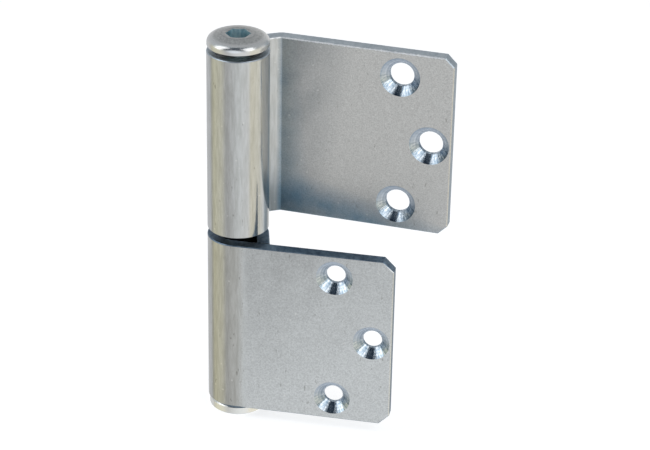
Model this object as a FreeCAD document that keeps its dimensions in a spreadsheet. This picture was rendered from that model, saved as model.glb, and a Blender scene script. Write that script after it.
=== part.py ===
import FreeCAD, Part
import math
import os

import Sketcher
from FreeCAD import Vector

# Height-adjustable flag hinge in zinc-plated steel, millimetres, +Z up along the pin.
# The origin is the middle of the lower leaf's pair of holes, on its mounting face.
# Each piece is drawn in its own frame with the pin as its Z axis, and then placed.

SIZES = (
    ("knuckle_diameter", 20.0, "outside of the rolled knuckles"),
    ("sheet_thickness", 4.0, "both leaves"),
    ("lip_angle", 14.0, "where the rolled sheet runs out straight"),
    ("seam_gap", 0.15, "between the rolled end and its own leaf"),
    ("edge_bevel", 0.3, "worn sheared edges of the leaves"),
    ("knuckle_gap", 2.5, "between the two knuckles"),
    ("lower_leaf_height", 60.7, "lower leaf"),
    ("lower_leaf_reach", 53.0, "pin axis to the lower leaf's outer edge"),
    ("lower_corner_cut", 3.5, "lower leaf's outer corners"),
    ("lower_hole_diameter", 6.3, "lower leaf's holes"),
    ("lower_sink_diameter", 12.0, "lower leaf's countersinks"),
    ("lower_hole_spacing", 45.0, "lower leaf's pair of holes"),
    ("lower_pair_inset", 19.2, "lower pair of holes, in from the leaf's outer edge"),
    ("lower_third_inset", 6.7, "lower third hole, in from the leaf's outer edge"),
    ("upper_leaf_height", 61.6, "upper leaf"),
    ("upper_leaf_reach", 66.0, "pin axis to the upper leaf's outer edge"),
    ("upper_corner_cut", 3.0, "upper leaf's outer corners"),
    ("upper_hole_diameter", 8.0, "upper leaf's holes"),
    ("upper_sink_diameter", 13.0, "upper leaf's countersinks"),
    ("upper_hole_spacing", 44.5, "upper leaf's pair of holes"),
    ("upper_pair_inset", 17.3, "upper pair of holes, in from the leaf's outer edge"),
    ("upper_third_inset", 7.1, "upper third hole, in from the leaf's outer edge"),
    ("sink_angle", 90.0, "countersinks, side to side"),
    ("crank_offset", 13.9, "pin axis to the upper plate's front face"),
    ("crank_angle", 34.0, "slope of the web against the plate"),
    ("bend_radius", 1.0, "inside of the crank's bend"),
    ("leaf_swing", 5.2, "how far the upper leaf stands open at rest"),
    ("press_clearance", 0.01, "radial, pieces pressed into a knuckle"),
    ("running_clearance", 0.03, "radial, sleeves on the pin"),
    ("thread_clearance", 0.05, "radial, screw in its bush"),
    ("flange_diameter", 19.1, "bottom plug's flange"),
    ("flange_height", 3.6, "bottom plug's flange"),
    ("flange_bevel", 0.9, "top edge of the flange"),
    ("flange_foot_bevel", 0.5, "bottom edge of the flange"),
    ("spigot_length", 10.0, "bottom plug's spigot"),
    ("lead_in", 0.6, "bevels that lead a turned piece into its bore"),
    ("journal_diameter", 10.0, "pin where the sleeves run"),
    ("shoulder_depth", 7.0, "pin's shoulder below the lower knuckle's top"),
    ("ball_diameter", 8.0, "thrust ball"),
    ("ball_clearance", 0.02, "between the ball and each cup"),
    ("cup_angle", 60.0, "cups, from the axis to the wall"),
    ("cup_diameter", 7.2, "mouth of the cups in the pin and the screw"),
    ("sleeve_length", 16.0, "each bearing sleeve"),
    ("sleeve_inset", 1.0, "lower sleeve above the knuckle's foot, upper one below the pin's top"),
    ("bush_diameter", 16.0, "threaded bush"),
    ("bush_length", 17.0, "threaded bush"),
    ("screw_diameter", 10.0, "height screw's shank"),
    ("screw_length", 24.0, "height screw under its head"),
    ("head_gap", 1.7, "between the upper knuckle and the screw's head"),
    ("head_diameter", 19.8, "height screw's head"),
    ("head_height", 4.4, "height screw's head at its crown"),
    ("dome_radius", 26.0, "top of the head"),
    ("shoulder_round", 2.0, "top edge of the head"),
    ("rim_bevel", 0.3, "bottom edge of the head"),
    ("key_size", 7.0, "hexagon socket across its flats"),
    ("key_depth", 5.0, "hexagon socket from the crown"),
    ("key_mouth_diameter", 9.2, "bevel round the hexagon socket"),
    ("key_mouth_depth", 1.5, "point of that bevel's cone below the crown"),
    ("key_turn", 11.0, "one corner of the hexagon from +X"),
)
SIZE = {alias: value for alias, value, note in SIZES}

# Sizes and heights that several pieces share, as expressions on the sheet.
KNUCKLE = "(Sizes.knuckle_diameter / 2)"
BORE = f"({KNUCKLE} - Sizes.sheet_thickness)"
UPPER_FOOT = "(Sizes.lower_leaf_height + Sizes.knuckle_gap)"
UPPER_TOP = f"({UPPER_FOOT} + Sizes.upper_leaf_height)"
HEAD_FOOT = f"({UPPER_TOP} + Sizes.head_gap)"
SCREW_TIP = f"({HEAD_FOOT} - Sizes.screw_length)"
BALL_TO_APEX = "((Sizes.ball_diameter / 2 + Sizes.ball_clearance) / sin(Sizes.cup_angle * 1 deg))"
CUP_DEPTH = "(Sizes.cup_diameter / 2 / tan(Sizes.cup_angle * 1 deg))"
BALL_TO_END = f"({BALL_TO_APEX} - {CUP_DEPTH})"
BALL_HEIGHT = f"({SCREW_TIP} - {BALL_TO_END})"
PIN_TOP = f"({BALL_HEIGHT} - {BALL_TO_END})"

# The pin axis and the lower leaf's foot, seen from the origin.
AXIS_X = "-(Sizes.lower_leaf_reach - Sizes.lower_pair_inset)"
AXIS_Y = BORE
FOOT_Z = "-Sizes.lower_leaf_height / 2"

# Sketcher's numbers for the points of a line or arc, and for a sketch's own origin and upright axis.
START, END, CENTRE = range(1, 4)
ORIGIN, UPRIGHT_AXIS = range(-1, -3, -1)

# Edges are told apart to within this many millimetres. The edge across the end of a roll is up to
# this many times as long as the sheet is thick, because it is cut at a slant.
NEAR = 1e-4
SLANT_ALLOWANCE = 1.2

# A turned profile is first drawn as a ring clear of the axis; its dimensions then pull it into place.
DRAFT_MIDDLE = Vector(30, 30, 0)
DRAFT_RADIUS = 20

doc = FreeCAD.newDocument("FlagHinge")
sheet = doc.addObject("Spreadsheet::Sheet", "Sizes")
for row, (alias, value, note) in enumerate(SIZES, start=1):
    sheet.set(f"A{row}", alias)
    sheet.set(f"B{row}", str(value))
    sheet.set(f"C{row}", note)
    sheet.setAlias(f"B{row}", alias)
doc.recompute()


def new_body(label):
    """A body whose label names its piece."""
    body = doc.addObject("PartDesign::Body", label.title().replace("_", ""))
    body.Label = label
    return body


def place(body, height="0", turn="0"):
    """Puts a body on the pin axis, some way above the lower leaf's foot and turned about +Z."""
    spot = f"create(<<vector>>; {AXIS_X}; {AXIS_Y}; {FOOT_Z} + {height})"
    spin = f"create(<<rotation>>; create(<<vector>>; 0; 0; 1); {turn})"
    body.setExpression("Placement", f"create(<<placement>>; {spot}; {spin})")


def new_sketch(body, name, plane, offset=None):
    """A sketch on one of the body's own origin planes, moved along the plane's normal."""
    sketch = body.newObject("Sketcher::SketchObject", name)
    support = next(item for item in body.Origin.OriginFeatures if item.Role == plane)
    sketch.AttachmentSupport = (support, [""])
    sketch.MapMode = "FlatFace"
    if offset is not None:
        sketch.setExpression("AttachmentOffset.Base.z", offset)
    return sketch


def tie(sketch, name, expression, kind, *where):
    """A named dimension that follows the sheet."""
    index = sketch.addConstraint(Sketcher.Constraint(kind, *where))
    sketch.renameConstraint(index, name)
    sketch.setExpression(f"Constraints.{name}", expression)


def fix(sketch, kind, *where):
    """A geometric constraint."""
    sketch.addConstraint(Sketcher.Constraint(kind, *where))


def polar(radius, degrees):
    return Vector(radius * math.cos(math.radians(degrees)), radius * math.sin(math.radians(degrees)), 0)


def add_line(sketch, start, end):
    return sketch.addGeometry(Part.LineSegment(start, end), False)


def add_arc(sketch, centre, radius, first, last):
    circle = Part.Circle(centre, Vector(0, 0, 1), radius)
    return sketch.addGeometry(Part.ArcOfCircle(circle, math.radians(first), math.radians(last)), False)


def pad(body, sketch, name, length):
    solid = body.newObject("PartDesign::Pad", name)
    solid.Profile = sketch
    solid.Refine = False
    solid.setExpression("Length", length)
    doc.recompute()
    return solid


def dress(body, kind, name, base, edges, size_name, size):
    """A fillet or a chamfer on some edges of a feature."""
    feature = body.newObject(f"PartDesign::{kind}", name)
    feature.Base = (base, edges)
    feature.Refine = False
    feature.setExpression(size_name, size)
    doc.recompute()
    return feature


def edges_where(shape, wanted):
    return [f"Edge{number}" for number, edge in enumerate(shape.Edges, start=1) if wanted(edge)]


def ends(edge):
    return [vertex.Point for vertex in edge.Vertexes]


def lower_section(body):
    """The lower leaf's section: a flat plate whose sheet rolls round the bore and back to it.

    The plate's back is drawn in two runs, the floor of the bore under the roll and the mounting
    face beyond it, so that the mounting face is a face of its own.
    """
    outside = SIZE["knuckle_diameter"] / 2
    inside = outside - SIZE["sheet_thickness"]
    lip = SIZE["lip_angle"]
    reach = SIZE["lower_leaf_reach"]
    butt = -inside + SIZE["seam_gap"]
    middle = Vector(0, 0, 0)

    def on_lip(radius, height):
        """Where the straight end of the roll, on its outer or inner side, is at a height."""
        return Vector((radius - height * math.sin(math.radians(lip))) / math.cos(math.radians(lip)), height, 0)

    outer_lip = on_lip(outside, butt)
    inner_lip = on_lip(inside, butt)
    foot = on_lip(outside, -inside)

    sketch = new_sketch(body, "LowerSection", "XY_Plane")
    outer = add_arc(sketch, middle, outside, lip, 270)
    inner = add_arc(sketch, middle, inside, lip, 270)
    front = add_line(sketch, Vector(0, -outside, 0), Vector(reach, -outside, 0))
    edge = add_line(sketch, Vector(reach, -outside, 0), Vector(reach, -inside, 0))
    back = add_line(sketch, Vector(reach, -inside, 0), foot)
    bore_floor = add_line(sketch, foot, Vector(0, -inside, 0))
    lip_out = add_line(sketch, polar(outside, lip), outer_lip)
    lip_end = add_line(sketch, outer_lip, inner_lip)
    lip_in = add_line(sketch, inner_lip, polar(inside, lip))

    for arc in (outer, inner):
        fix(sketch, "Coincident", arc, CENTRE, ORIGIN, START)
    fix(sketch, "Tangent", front, START, outer, END)
    fix(sketch, "Tangent", bore_floor, END, inner, END)
    fix(sketch, "Tangent", lip_out, START, outer, START)
    fix(sketch, "Tangent", lip_in, END, inner, START)
    for first, second in ((front, edge), (edge, back), (back, bore_floor), (lip_out, lip_end),
                          (lip_end, lip_in)):
        fix(sketch, "Coincident", first, END, second, START)
    fix(sketch, "PointOnObject", back, END, lip_out)
    for line in (front, back, lip_end):
        fix(sketch, "Horizontal", line)
    fix(sketch, "Vertical", edge)
    fix(sketch, "Parallel", lip_in, lip_out)
    tie(sketch, "outside", KNUCKLE, "Radius", outer, outside)
    tie(sketch, "inside", BORE, "Radius", inner, inside)
    tie(sketch, "reach", "Sizes.lower_leaf_reach", "DistanceX", ORIGIN, START, edge, START, reach)
    tie(sketch, "lip", f"{KNUCKLE} * sin(Sizes.lip_angle * 1 deg)",
        "DistanceY", ORIGIN, START, outer, START, polar(outside, lip).y)
    tie(sketch, "seam", "Sizes.seam_gap",
        "DistanceY", back, START, lip_end, START, SIZE["seam_gap"])
    return sketch


def upper_section(body):
    """The upper leaf's section: the same roll the other way round, then a sloped web and a plate."""
    outside = SIZE["knuckle_diameter"] / 2
    inside = outside - SIZE["sheet_thickness"]
    slope = SIZE["crank_angle"]
    leave = 90 + slope
    lip = slope - SIZE["lip_angle"] + 360
    front_y = SIZE["crank_offset"]
    back_y = front_y + SIZE["sheet_thickness"]
    reach = SIZE["upper_leaf_reach"]
    bend = SIZE["bend_radius"]
    across = polar(1, leave)
    rise = math.cos(math.radians(slope)) * (front_y - bend) - inside + bend
    turning = Vector(rise / math.sin(math.radians(slope)), front_y - bend, 0)
    middle = Vector(0, 0, 0)
    along_lip = polar(1, lip + 90)

    def lip_point(radius):
        foot = polar(radius, lip)
        run = (inside - SIZE["seam_gap"] - foot.dot(across)) / along_lip.dot(across)
        return foot + along_lip * run

    sketch = new_sketch(body, "UpperSection", "XY_Plane")
    outer = add_arc(sketch, middle, outside, leave, lip)
    inner = add_arc(sketch, middle, inside, leave, lip)
    web_back = add_line(sketch, polar(outside, leave), turning + across * (bend + SIZE["sheet_thickness"]))
    bend_out = add_arc(sketch, turning, bend + SIZE["sheet_thickness"], 90, leave)
    back = add_line(sketch, Vector(turning.x, back_y, 0), Vector(reach, back_y, 0))
    edge = add_line(sketch, Vector(reach, back_y, 0), Vector(reach, front_y, 0))
    front = add_line(sketch, Vector(reach, front_y, 0), Vector(turning.x, front_y, 0))
    bend_in = add_arc(sketch, turning, bend, 90, leave)
    web_front = add_line(sketch, polar(inside, leave), turning + across * bend)
    lip_out = add_line(sketch, polar(outside, lip), lip_point(outside))
    lip_end = add_line(sketch, lip_point(outside), lip_point(inside))
    lip_in = add_line(sketch, lip_point(inside), polar(inside, lip))

    for arc in (outer, inner):
        fix(sketch, "Coincident", arc, CENTRE, ORIGIN, START)
    fix(sketch, "Coincident", bend_out, CENTRE, bend_in, CENTRE)
    fix(sketch, "Tangent", web_back, START, outer, START)
    fix(sketch, "Tangent", web_back, END, bend_out, END)
    fix(sketch, "Tangent", back, START, bend_out, START)
    fix(sketch, "Tangent", front, END, bend_in, START)
    fix(sketch, "Tangent", web_front, END, bend_in, END)
    fix(sketch, "Tangent", web_front, START, inner, START)
    fix(sketch, "Tangent", lip_out, START, outer, END)
    fix(sketch, "Tangent", lip_in, END, inner, END)
    for first, second in ((back, edge), (edge, front), (lip_out, lip_end), (lip_end, lip_in)):
        fix(sketch, "Coincident", first, END, second, START)
    fix(sketch, "Horizontal", back)
    fix(sketch, "Horizontal", front)
    fix(sketch, "Vertical", edge)
    fix(sketch, "Parallel", web_back, web_front)
    fix(sketch, "Parallel", lip_in, lip_out)
    fix(sketch, "Parallel", lip_end, web_front)
    tie(sketch, "outside", KNUCKLE, "Radius", outer, outside)
    tie(sketch, "inside", BORE, "Radius", inner, inside)
    tie(sketch, "bend", "Sizes.bend_radius", "Radius", bend_in, bend)
    tie(sketch, "slope", "Sizes.crank_angle * 1 deg", "Angle", web_front, math.radians(slope))
    tie(sketch, "offset", "Sizes.crank_offset", "DistanceY", ORIGIN, START, front, END, front_y)
    tie(sketch, "reach", "Sizes.upper_leaf_reach", "DistanceX", ORIGIN, START, edge, START, reach)
    tie(sketch, "lip", f"{KNUCKLE} * sin((Sizes.crank_angle - Sizes.lip_angle) * 1 deg)",
        "DistanceY", ORIGIN, START, outer, END, polar(outside, lip).y)
    tie(sketch, "seam", "Sizes.seam_gap",
        "Distance", lip_end, START, web_front, SIZE["seam_gap"])
    return sketch


def leaf(side, section, front_y, back_y, front_offset):
    """One leaf: its rolled section drawn out, corners cut, sheared edges worn, holes sunk.

    Its features aren't refined, which would join the mounting face to the floor of the bore.
    """
    body = new_body(f"{side}_leaf")
    height = SIZE[f"{side}_leaf_height"]
    reach = SIZE[f"{side}_leaf_reach"]
    cut = SIZE[f"{side}_corner_cut"]
    name = side.title()
    solid = pad(body, section(body), f"{name}Sheet", f"Sizes.{side}_leaf_height")

    def at_corner(edge):
        first, last = ends(edge)
        level = abs(first.z - last.z) < NEAR and min(abs(first.z), abs(first.z - height)) < NEAR
        return level and min(first.x, last.x) > reach - NEAR

    corners = edges_where(solid.Shape, at_corner)
    cut_sheet = dress(body, "Chamfer", f"{name}Corners", solid, corners,
                      "Size", f"Sizes.{side}_corner_cut")

    def level_with(edge, axis, value):
        return all(abs(getattr(point, axis) - value) < NEAR for point in ends(edge))

    def through_sheet(edge):
        """A short straight edge from one face of the sheet to the other, at a sheared end."""
        first, last = ends(edge)
        straight = (last - first).Length > edge.Length - NEAR
        return straight and edge.Length < SIZE["sheet_thickness"] * SLANT_ALLOWANCE

    def sheared(edge):
        on_end_face = level_with(edge, "z", 0) or level_with(edge, "z", height)
        on_plate_face = level_with(edge, "y", front_y) or level_with(edge, "y", back_y)
        at_outer_end = all(point.x > reach - cut - NEAR for point in ends(edge))
        return (on_end_face and not through_sheet(edge)) or (on_plate_face and at_outer_end)

    worn = dress(body, "Chamfer", f"{name}Edges", cut_sheet, edges_where(cut_sheet.Shape, sheared),
                 "Size", "Sizes.edge_bevel")

    holes = new_sketch(body, f"{name}HolePlaces", "XZ_Plane", front_offset)
    hole = SIZE[f"{side}_hole_diameter"]
    for place_name, column, steps in (("low", "pair", -0.5), ("high", "pair", 0.5), ("third", "third", 0)):
        across = reach - SIZE[f"{side}_{column}_inset"]
        up = height / 2 + steps * SIZE[f"{side}_hole_spacing"]
        circle = holes.addGeometry(Part.Circle(Vector(across, up, 0), Vector(0, 0, 1), hole / 2), False)
        tie(holes, f"{place_name}_across", f"Sizes.{side}_leaf_reach - Sizes.{side}_{column}_inset",
            "DistanceX", ORIGIN, START, circle, CENTRE, across)
        tie(holes, f"{place_name}_up", f"Sizes.{side}_leaf_height / 2 + {steps} * Sizes.{side}_hole_spacing",
            "DistanceY", ORIGIN, START, circle, CENTRE, up)
        tie(holes, f"{place_name}_size", f"Sizes.{side}_hole_diameter", "Diameter", circle, hole)
    doc.recompute()

    drilled = body.newObject("PartDesign::Hole", f"{name}Holes")
    drilled.Profile = holes
    drilled.Refine = False
    drilled.DepthType = "ThroughAll"
    drilled.ThreadType = "None"
    drilled.HoleCutType = "Countersink"
    drilled.HoleCutCustomValues = True
    drilled.setExpression("Diameter", f"Sizes.{side}_hole_diameter")
    drilled.setExpression("HoleCutDiameter", f"Sizes.{side}_sink_diameter")
    drilled.setExpression("HoleCutCountersinkAngle", "Sizes.sink_angle * 1 deg")
    doc.recompute()
    print(side, "leaf: holes take out", round(worn.Shape.Volume - drilled.Shape.Volume, 1), "mm3")
    return body


def turned(label, profile):
    """A turned piece: a half section of straight runs, each corner a radius and a height."""
    body = new_body(label)
    sketch = new_sketch(body, f"{body.Name}Profile", "XZ_Plane")
    count = len(profile)
    corners = [DRAFT_MIDDLE + polar(DRAFT_RADIUS, 360 * number / count) for number in range(count)]
    lines = [add_line(sketch, corners[number], corners[(number + 1) % count]) for number in range(count)]
    for number, (radius, height) in enumerate(profile):
        fix(sketch, "Coincident", lines[number - 1], END, lines[number], START)
        if radius == "0":
            fix(sketch, "PointOnObject", lines[number], START, UPRIGHT_AXIS)
        else:
            tie(sketch, f"radius_{number}", radius,
                "DistanceX", ORIGIN, START, lines[number], START, corners[number].x)
        if height == "0":
            fix(sketch, "PointOnObject", lines[number], START, ORIGIN)
        else:
            tie(sketch, f"height_{number}", height,
                "DistanceY", ORIGIN, START, lines[number], START, corners[number].y)
    turning = body.newObject("PartDesign::Revolution", f"{body.Name}Turning")
    turning.Profile = sketch
    turning.ReferenceAxis = (sketch, ["V_Axis"])
    turning.Angle = 360
    doc.recompute()
    return body


def bottom_plug():
    """Closes the lower knuckle: a flange under it and a spigot pressed into its bore."""
    spigot = f"({BORE} - Sizes.press_clearance)"
    flange = "(Sizes.flange_diameter / 2)"
    top = "(Sizes.flange_height + Sizes.spigot_length)"
    body = turned("bottom_plug", (
        ("0", "0"),
        (f"{flange} - Sizes.flange_foot_bevel", "0"),
        (flange, "Sizes.flange_foot_bevel"),
        (flange, "Sizes.flange_height - Sizes.flange_bevel"),
        (f"{flange} - Sizes.flange_bevel", "Sizes.flange_height"),
        (spigot, "Sizes.flange_height"),
        (spigot, f"{top} - Sizes.lead_in"),
        (f"{spigot} - Sizes.lead_in", top),
        ("0", top),
    ))
    place(body, "-Sizes.flange_height")
    return body


def hinge_pin():
    """Pressed into the lower knuckle down to the plug, with a slimmer journal above."""
    shank = f"({BORE} - Sizes.press_clearance)"
    journal = "(Sizes.journal_diameter / 2)"
    shoulder = "(Sizes.lower_leaf_height - Sizes.shoulder_depth - Sizes.spigot_length)"
    top = f"({PIN_TOP} - Sizes.spigot_length)"
    body = turned("hinge_pin", (
        ("0", "0"),
        (f"{shank} - Sizes.lead_in", "0"),
        (shank, "Sizes.lead_in"),
        (shank, f"{shoulder} - Sizes.lead_in"),
        (f"{shank} - Sizes.lead_in", shoulder),
        (journal, shoulder),
        (journal, f"{top} - Sizes.lead_in"),
        (f"{journal} - Sizes.lead_in", top),
        ("Sizes.cup_diameter / 2", top),
        ("0", f"{top} - {CUP_DEPTH}"),
    ))
    place(body, "Sizes.spigot_length")
    return body


def sleeve(label, height):
    """A plain bearing pressed into the upper knuckle, running on the pin's journal."""
    outside = f"({BORE} - Sizes.press_clearance)"
    inside = "(Sizes.journal_diameter / 2 + Sizes.running_clearance)"
    body = turned(label, (
        (inside, "0"),
        (outside, "0"),
        (outside, "Sizes.sleeve_length"),
        (inside, "Sizes.sleeve_length"),
    ))
    place(body, height)
    return body


def threaded_bush():
    """The height screw's nut, pressed into the wider top of the upper knuckle."""
    outside = "(Sizes.bush_diameter / 2 - Sizes.press_clearance)"
    inside = "(Sizes.screw_diameter / 2 + Sizes.thread_clearance)"
    body = turned("threaded_bush", (
        (f"{inside} + Sizes.lead_in", "0"),
        (outside, "0"),
        (outside, "Sizes.bush_length"),
        (f"{inside} + Sizes.lead_in", "Sizes.bush_length"),
        (inside, "Sizes.bush_length - Sizes.lead_in"),
        (inside, "Sizes.lead_in"),
    ))
    place(body, f"{UPPER_TOP} - Sizes.bush_length")
    return body


def thrust_ball():
    """Carries the upper leaf's weight from the screw to the pin."""
    ball = doc.addObject("Part::Sphere", "ThrustBall")
    ball.Label = "thrust_ball"
    ball.setExpression("Radius", "Sizes.ball_diameter / 2")
    place(ball, BALL_HEIGHT)
    return ball


def height_screw():
    """Domed head with a hexagon socket, and a shank whose tip has a cup for the ball."""
    body = new_body("height_screw")
    shank = SIZE["screw_diameter"] / 2
    tip = SIZE["lead_in"]
    length = SIZE["screw_length"]
    head = SIZE["head_diameter"] / 2
    rim = SIZE["rim_bevel"]
    crown = length + SIZE["head_height"]
    dome = SIZE["dome_radius"]
    mouth = SIZE["key_mouth_diameter"] / 2
    shoulder = SIZE["shoulder_round"]
    cup = SIZE["cup_diameter"] / 2
    cup_top = cup / math.tan(math.radians(SIZE["cup_angle"]))
    dome_centre = Vector(0, crown - dome, 0)
    shoulder_end = math.degrees(math.acos((head - shoulder) / (dome - shoulder)))
    shoulder_centre = dome_centre + polar(dome - shoulder, shoulder_end)
    mouth_edge = math.degrees(math.acos(mouth / dome))

    corners = [Vector(0, crown - SIZE["key_mouth_depth"], 0), Vector(0, cup_top, 0), Vector(cup, 0, 0),
               Vector(shank - tip, 0, 0), Vector(shank, tip, 0), Vector(shank, length, 0),
               Vector(head - rim, length, 0), Vector(head, length + rim, 0),
               Vector(head, shoulder_centre.y, 0)]
    sketch = new_sketch(body, "ScrewProfile", "XZ_Plane")
    lines = [add_line(sketch, start, end) for start, end in zip(corners, corners[1:])]
    core, cup_wall, tip_face, tip_slope, side, seat, rim_slope, head_side = lines
    shoulder_arc = add_arc(sketch, shoulder_centre, shoulder, 0, shoulder_end)
    crown_arc = add_arc(sketch, dome_centre, dome, shoulder_end, mouth_edge)
    mouth_wall = add_line(sketch, dome_centre + polar(dome, mouth_edge), corners[0])

    for before, after in zip(lines, lines[1:]):
        fix(sketch, "Coincident", before, END, after, START)
    fix(sketch, "Tangent", head_side, END, shoulder_arc, START)
    fix(sketch, "Tangent", shoulder_arc, END, crown_arc, START)
    fix(sketch, "Coincident", crown_arc, END, mouth_wall, START)
    fix(sketch, "Coincident", mouth_wall, END, core, START)
    fix(sketch, "PointOnObject", crown_arc, CENTRE, UPRIGHT_AXIS)
    fix(sketch, "PointOnObject", core, START, UPRIGHT_AXIS)
    fix(sketch, "PointOnObject", core, END, UPRIGHT_AXIS)
    fix(sketch, "PointOnObject", tip_face, START, ORIGIN)
    fix(sketch, "Horizontal", tip_face)
    fix(sketch, "Vertical", side)
    fix(sketch, "Horizontal", seat)
    fix(sketch, "Vertical", head_side)
    crown_height = "(Sizes.screw_length + Sizes.head_height)"
    from_origin = (ORIGIN, START)
    tie(sketch, "shoulder", "Sizes.shoulder_round", "Radius", shoulder_arc, shoulder)
    tie(sketch, "dome", "Sizes.dome_radius", "Radius", crown_arc, dome)
    tie(sketch, "dome_centre", f"Sizes.dome_radius - {crown_height}",
        "DistanceY", crown_arc, CENTRE, *from_origin, dome - crown)
    tie(sketch, "mouth_point", f"{crown_height} - Sizes.key_mouth_depth",
        "DistanceY", *from_origin, core, START, corners[0].y)
    tie(sketch, "mouth", "Sizes.key_mouth_diameter / 2",
        "DistanceX", *from_origin, mouth_wall, START, mouth)
    tie(sketch, "cup_depth", CUP_DEPTH, "DistanceY", *from_origin, core, END, cup_top)
    tie(sketch, "cup", "Sizes.cup_diameter / 2", "DistanceX", *from_origin, tip_face, START, cup)
    tie(sketch, "tip", "Sizes.screw_diameter / 2 - Sizes.lead_in",
        "DistanceX", *from_origin, tip_face, END, shank - tip)
    tie(sketch, "tip_slope", "Sizes.lead_in", "DistanceY", *from_origin, side, START, tip)
    tie(sketch, "shank", "Sizes.screw_diameter / 2", "DistanceX", *from_origin, side, START, shank)
    tie(sketch, "length", "Sizes.screw_length", "DistanceY", *from_origin, side, END, length)
    tie(sketch, "head", "Sizes.head_diameter / 2", "DistanceX", *from_origin, head_side, START, head)
    tie(sketch, "rim_in", "Sizes.rim_bevel", "DistanceX", seat, END, head_side, START, rim)
    tie(sketch, "rim_up", "Sizes.rim_bevel", "DistanceY", seat, END, head_side, START, rim)

    turning = body.newObject("PartDesign::Revolution", "ScrewTurning")
    turning.Profile = sketch
    turning.ReferenceAxis = (sketch, ["V_Axis"])
    turning.Angle = 360
    doc.recompute()

    hexagon = new_sketch(body, "KeyOutline", "XY_Plane", crown_height)
    corner_radius = SIZE["key_size"] / math.sqrt(3)
    spots = [polar(corner_radius, SIZE["key_turn"] + 60 * number) for number in range(6)]
    sides = [add_line(hexagon, spots[number], spots[(number + 1) % 6]) for number in range(6)]
    guide = hexagon.addGeometry(Part.Circle(Vector(0, 0, 0), Vector(0, 0, 1), corner_radius), True)
    spoke = hexagon.addGeometry(Part.LineSegment(Vector(0, 0, 0), spots[0]), True)
    fix(hexagon, "Coincident", guide, CENTRE, ORIGIN, START)
    fix(hexagon, "Coincident", spoke, START, ORIGIN, START)
    fix(hexagon, "Coincident", spoke, END, sides[0], START)
    for number, side_line in enumerate(sides):
        fix(hexagon, "Coincident", sides[number - 1], END, side_line, START)
        fix(hexagon, "PointOnObject", side_line, START, guide)
        if number:
            fix(hexagon, "Equal", sides[0], side_line)
    tie(hexagon, "corners", "Sizes.key_size / sqrt(3)", "Radius", guide, corner_radius)
    tie(hexagon, "turn", "Sizes.key_turn * 1 deg", "Angle", spoke, math.radians(SIZE["key_turn"]))
    doc.recompute()
    socket = body.newObject("PartDesign::Pocket", "KeySocket")
    socket.Profile = hexagon
    socket.setExpression("Length", "Sizes.key_depth")
    doc.recompute()
    print("height screw: socket takes out", round(turning.Shape.Volume - socket.Shape.Volume, 1), "mm3")
    place(body, SCREW_TIP)
    return body


def widen_for_bush(body):
    """Opens the top of the upper knuckle's bore for the threaded bush."""
    before = body.Tip.Shape.Volume
    bush = SIZE["bush_diameter"]
    sketch = new_sketch(body, "BushSeatOutline", "XY_Plane", "Sizes.upper_leaf_height")
    circle = sketch.addGeometry(Part.Circle(Vector(0, 0, 0), Vector(0, 0, 1), bush / 2), False)
    fix(sketch, "Coincident", circle, CENTRE, ORIGIN, START)
    tie(sketch, "seat", "Sizes.bush_diameter", "Diameter", circle, bush)
    doc.recompute()
    seat = body.newObject("PartDesign::Pocket", "BushSeat")
    seat.Profile = sketch
    seat.setExpression("Length", "Sizes.bush_length")
    doc.recompute()
    print("upper leaf: bush seat takes out", round(before - seat.Shape.Volume, 1), "mm3")


radius = SIZE["knuckle_diameter"] / 2
thickness = SIZE["sheet_thickness"]
offset = SIZE["crank_offset"]
lower_leaf = leaf("lower", lower_section, -radius, thickness - radius, KNUCKLE)
place(lower_leaf)
upper_leaf = leaf("upper", upper_section, offset, offset + thickness, "-Sizes.crank_offset")
widen_for_bush(upper_leaf)
place(upper_leaf, UPPER_FOOT, "-Sizes.leaf_swing")
pieces = [
    lower_leaf,
    upper_leaf,
    bottom_plug(),
    hinge_pin(),
    sleeve("lower_sleeve", f"{UPPER_FOOT} + Sizes.sleeve_inset"),
    sleeve("upper_sleeve", f"{PIN_TOP} - Sizes.sleeve_inset - Sizes.sleeve_length"),
    threaded_bush(),
    thrust_ball(),
    height_screw(),
]
doc.recompute()

for item in doc.Objects:
    if "Invalid" in item.State or "Error" in item.State:
        raise RuntimeError(f"{item.Name} did not build: {item.State}")
for piece in pieces:
    if piece.Shape.isNull() or not piece.Shape.isValid() or len(piece.Shape.Solids) != 1:
        raise RuntimeError(f"{piece.Label} is not one sound solid")

os.makedirs("parts", exist_ok=True)
for piece in pieces:
    piece.Shape.exportStep(f"parts/{piece.Label}.step")
    box = piece.Shape.BoundBox
    print(f"{piece.Label}: {piece.Shape.Volume:.0f} mm3, x {box.XMin:.2f} to {box.XMax:.2f}, "
          f"y {box.YMin:.2f} to {box.YMax:.2f}, z {box.ZMin:.2f} to {box.ZMax:.2f}")
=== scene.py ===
import math
import random
from dataclasses import dataclass

import bmesh
import bpy
from mathutils import Matrix, Vector


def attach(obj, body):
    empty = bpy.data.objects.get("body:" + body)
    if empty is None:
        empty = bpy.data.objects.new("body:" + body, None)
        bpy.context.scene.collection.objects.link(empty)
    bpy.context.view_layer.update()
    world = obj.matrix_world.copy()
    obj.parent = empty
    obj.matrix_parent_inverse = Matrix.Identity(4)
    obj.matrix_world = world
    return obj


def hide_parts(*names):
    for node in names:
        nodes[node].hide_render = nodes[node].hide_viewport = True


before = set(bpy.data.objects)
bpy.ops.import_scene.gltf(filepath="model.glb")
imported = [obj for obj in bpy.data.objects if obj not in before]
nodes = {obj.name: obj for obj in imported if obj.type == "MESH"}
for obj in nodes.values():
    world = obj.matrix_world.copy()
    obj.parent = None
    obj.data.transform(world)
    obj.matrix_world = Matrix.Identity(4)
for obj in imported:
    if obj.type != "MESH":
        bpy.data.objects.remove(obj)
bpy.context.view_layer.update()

MM = 0.001

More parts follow.
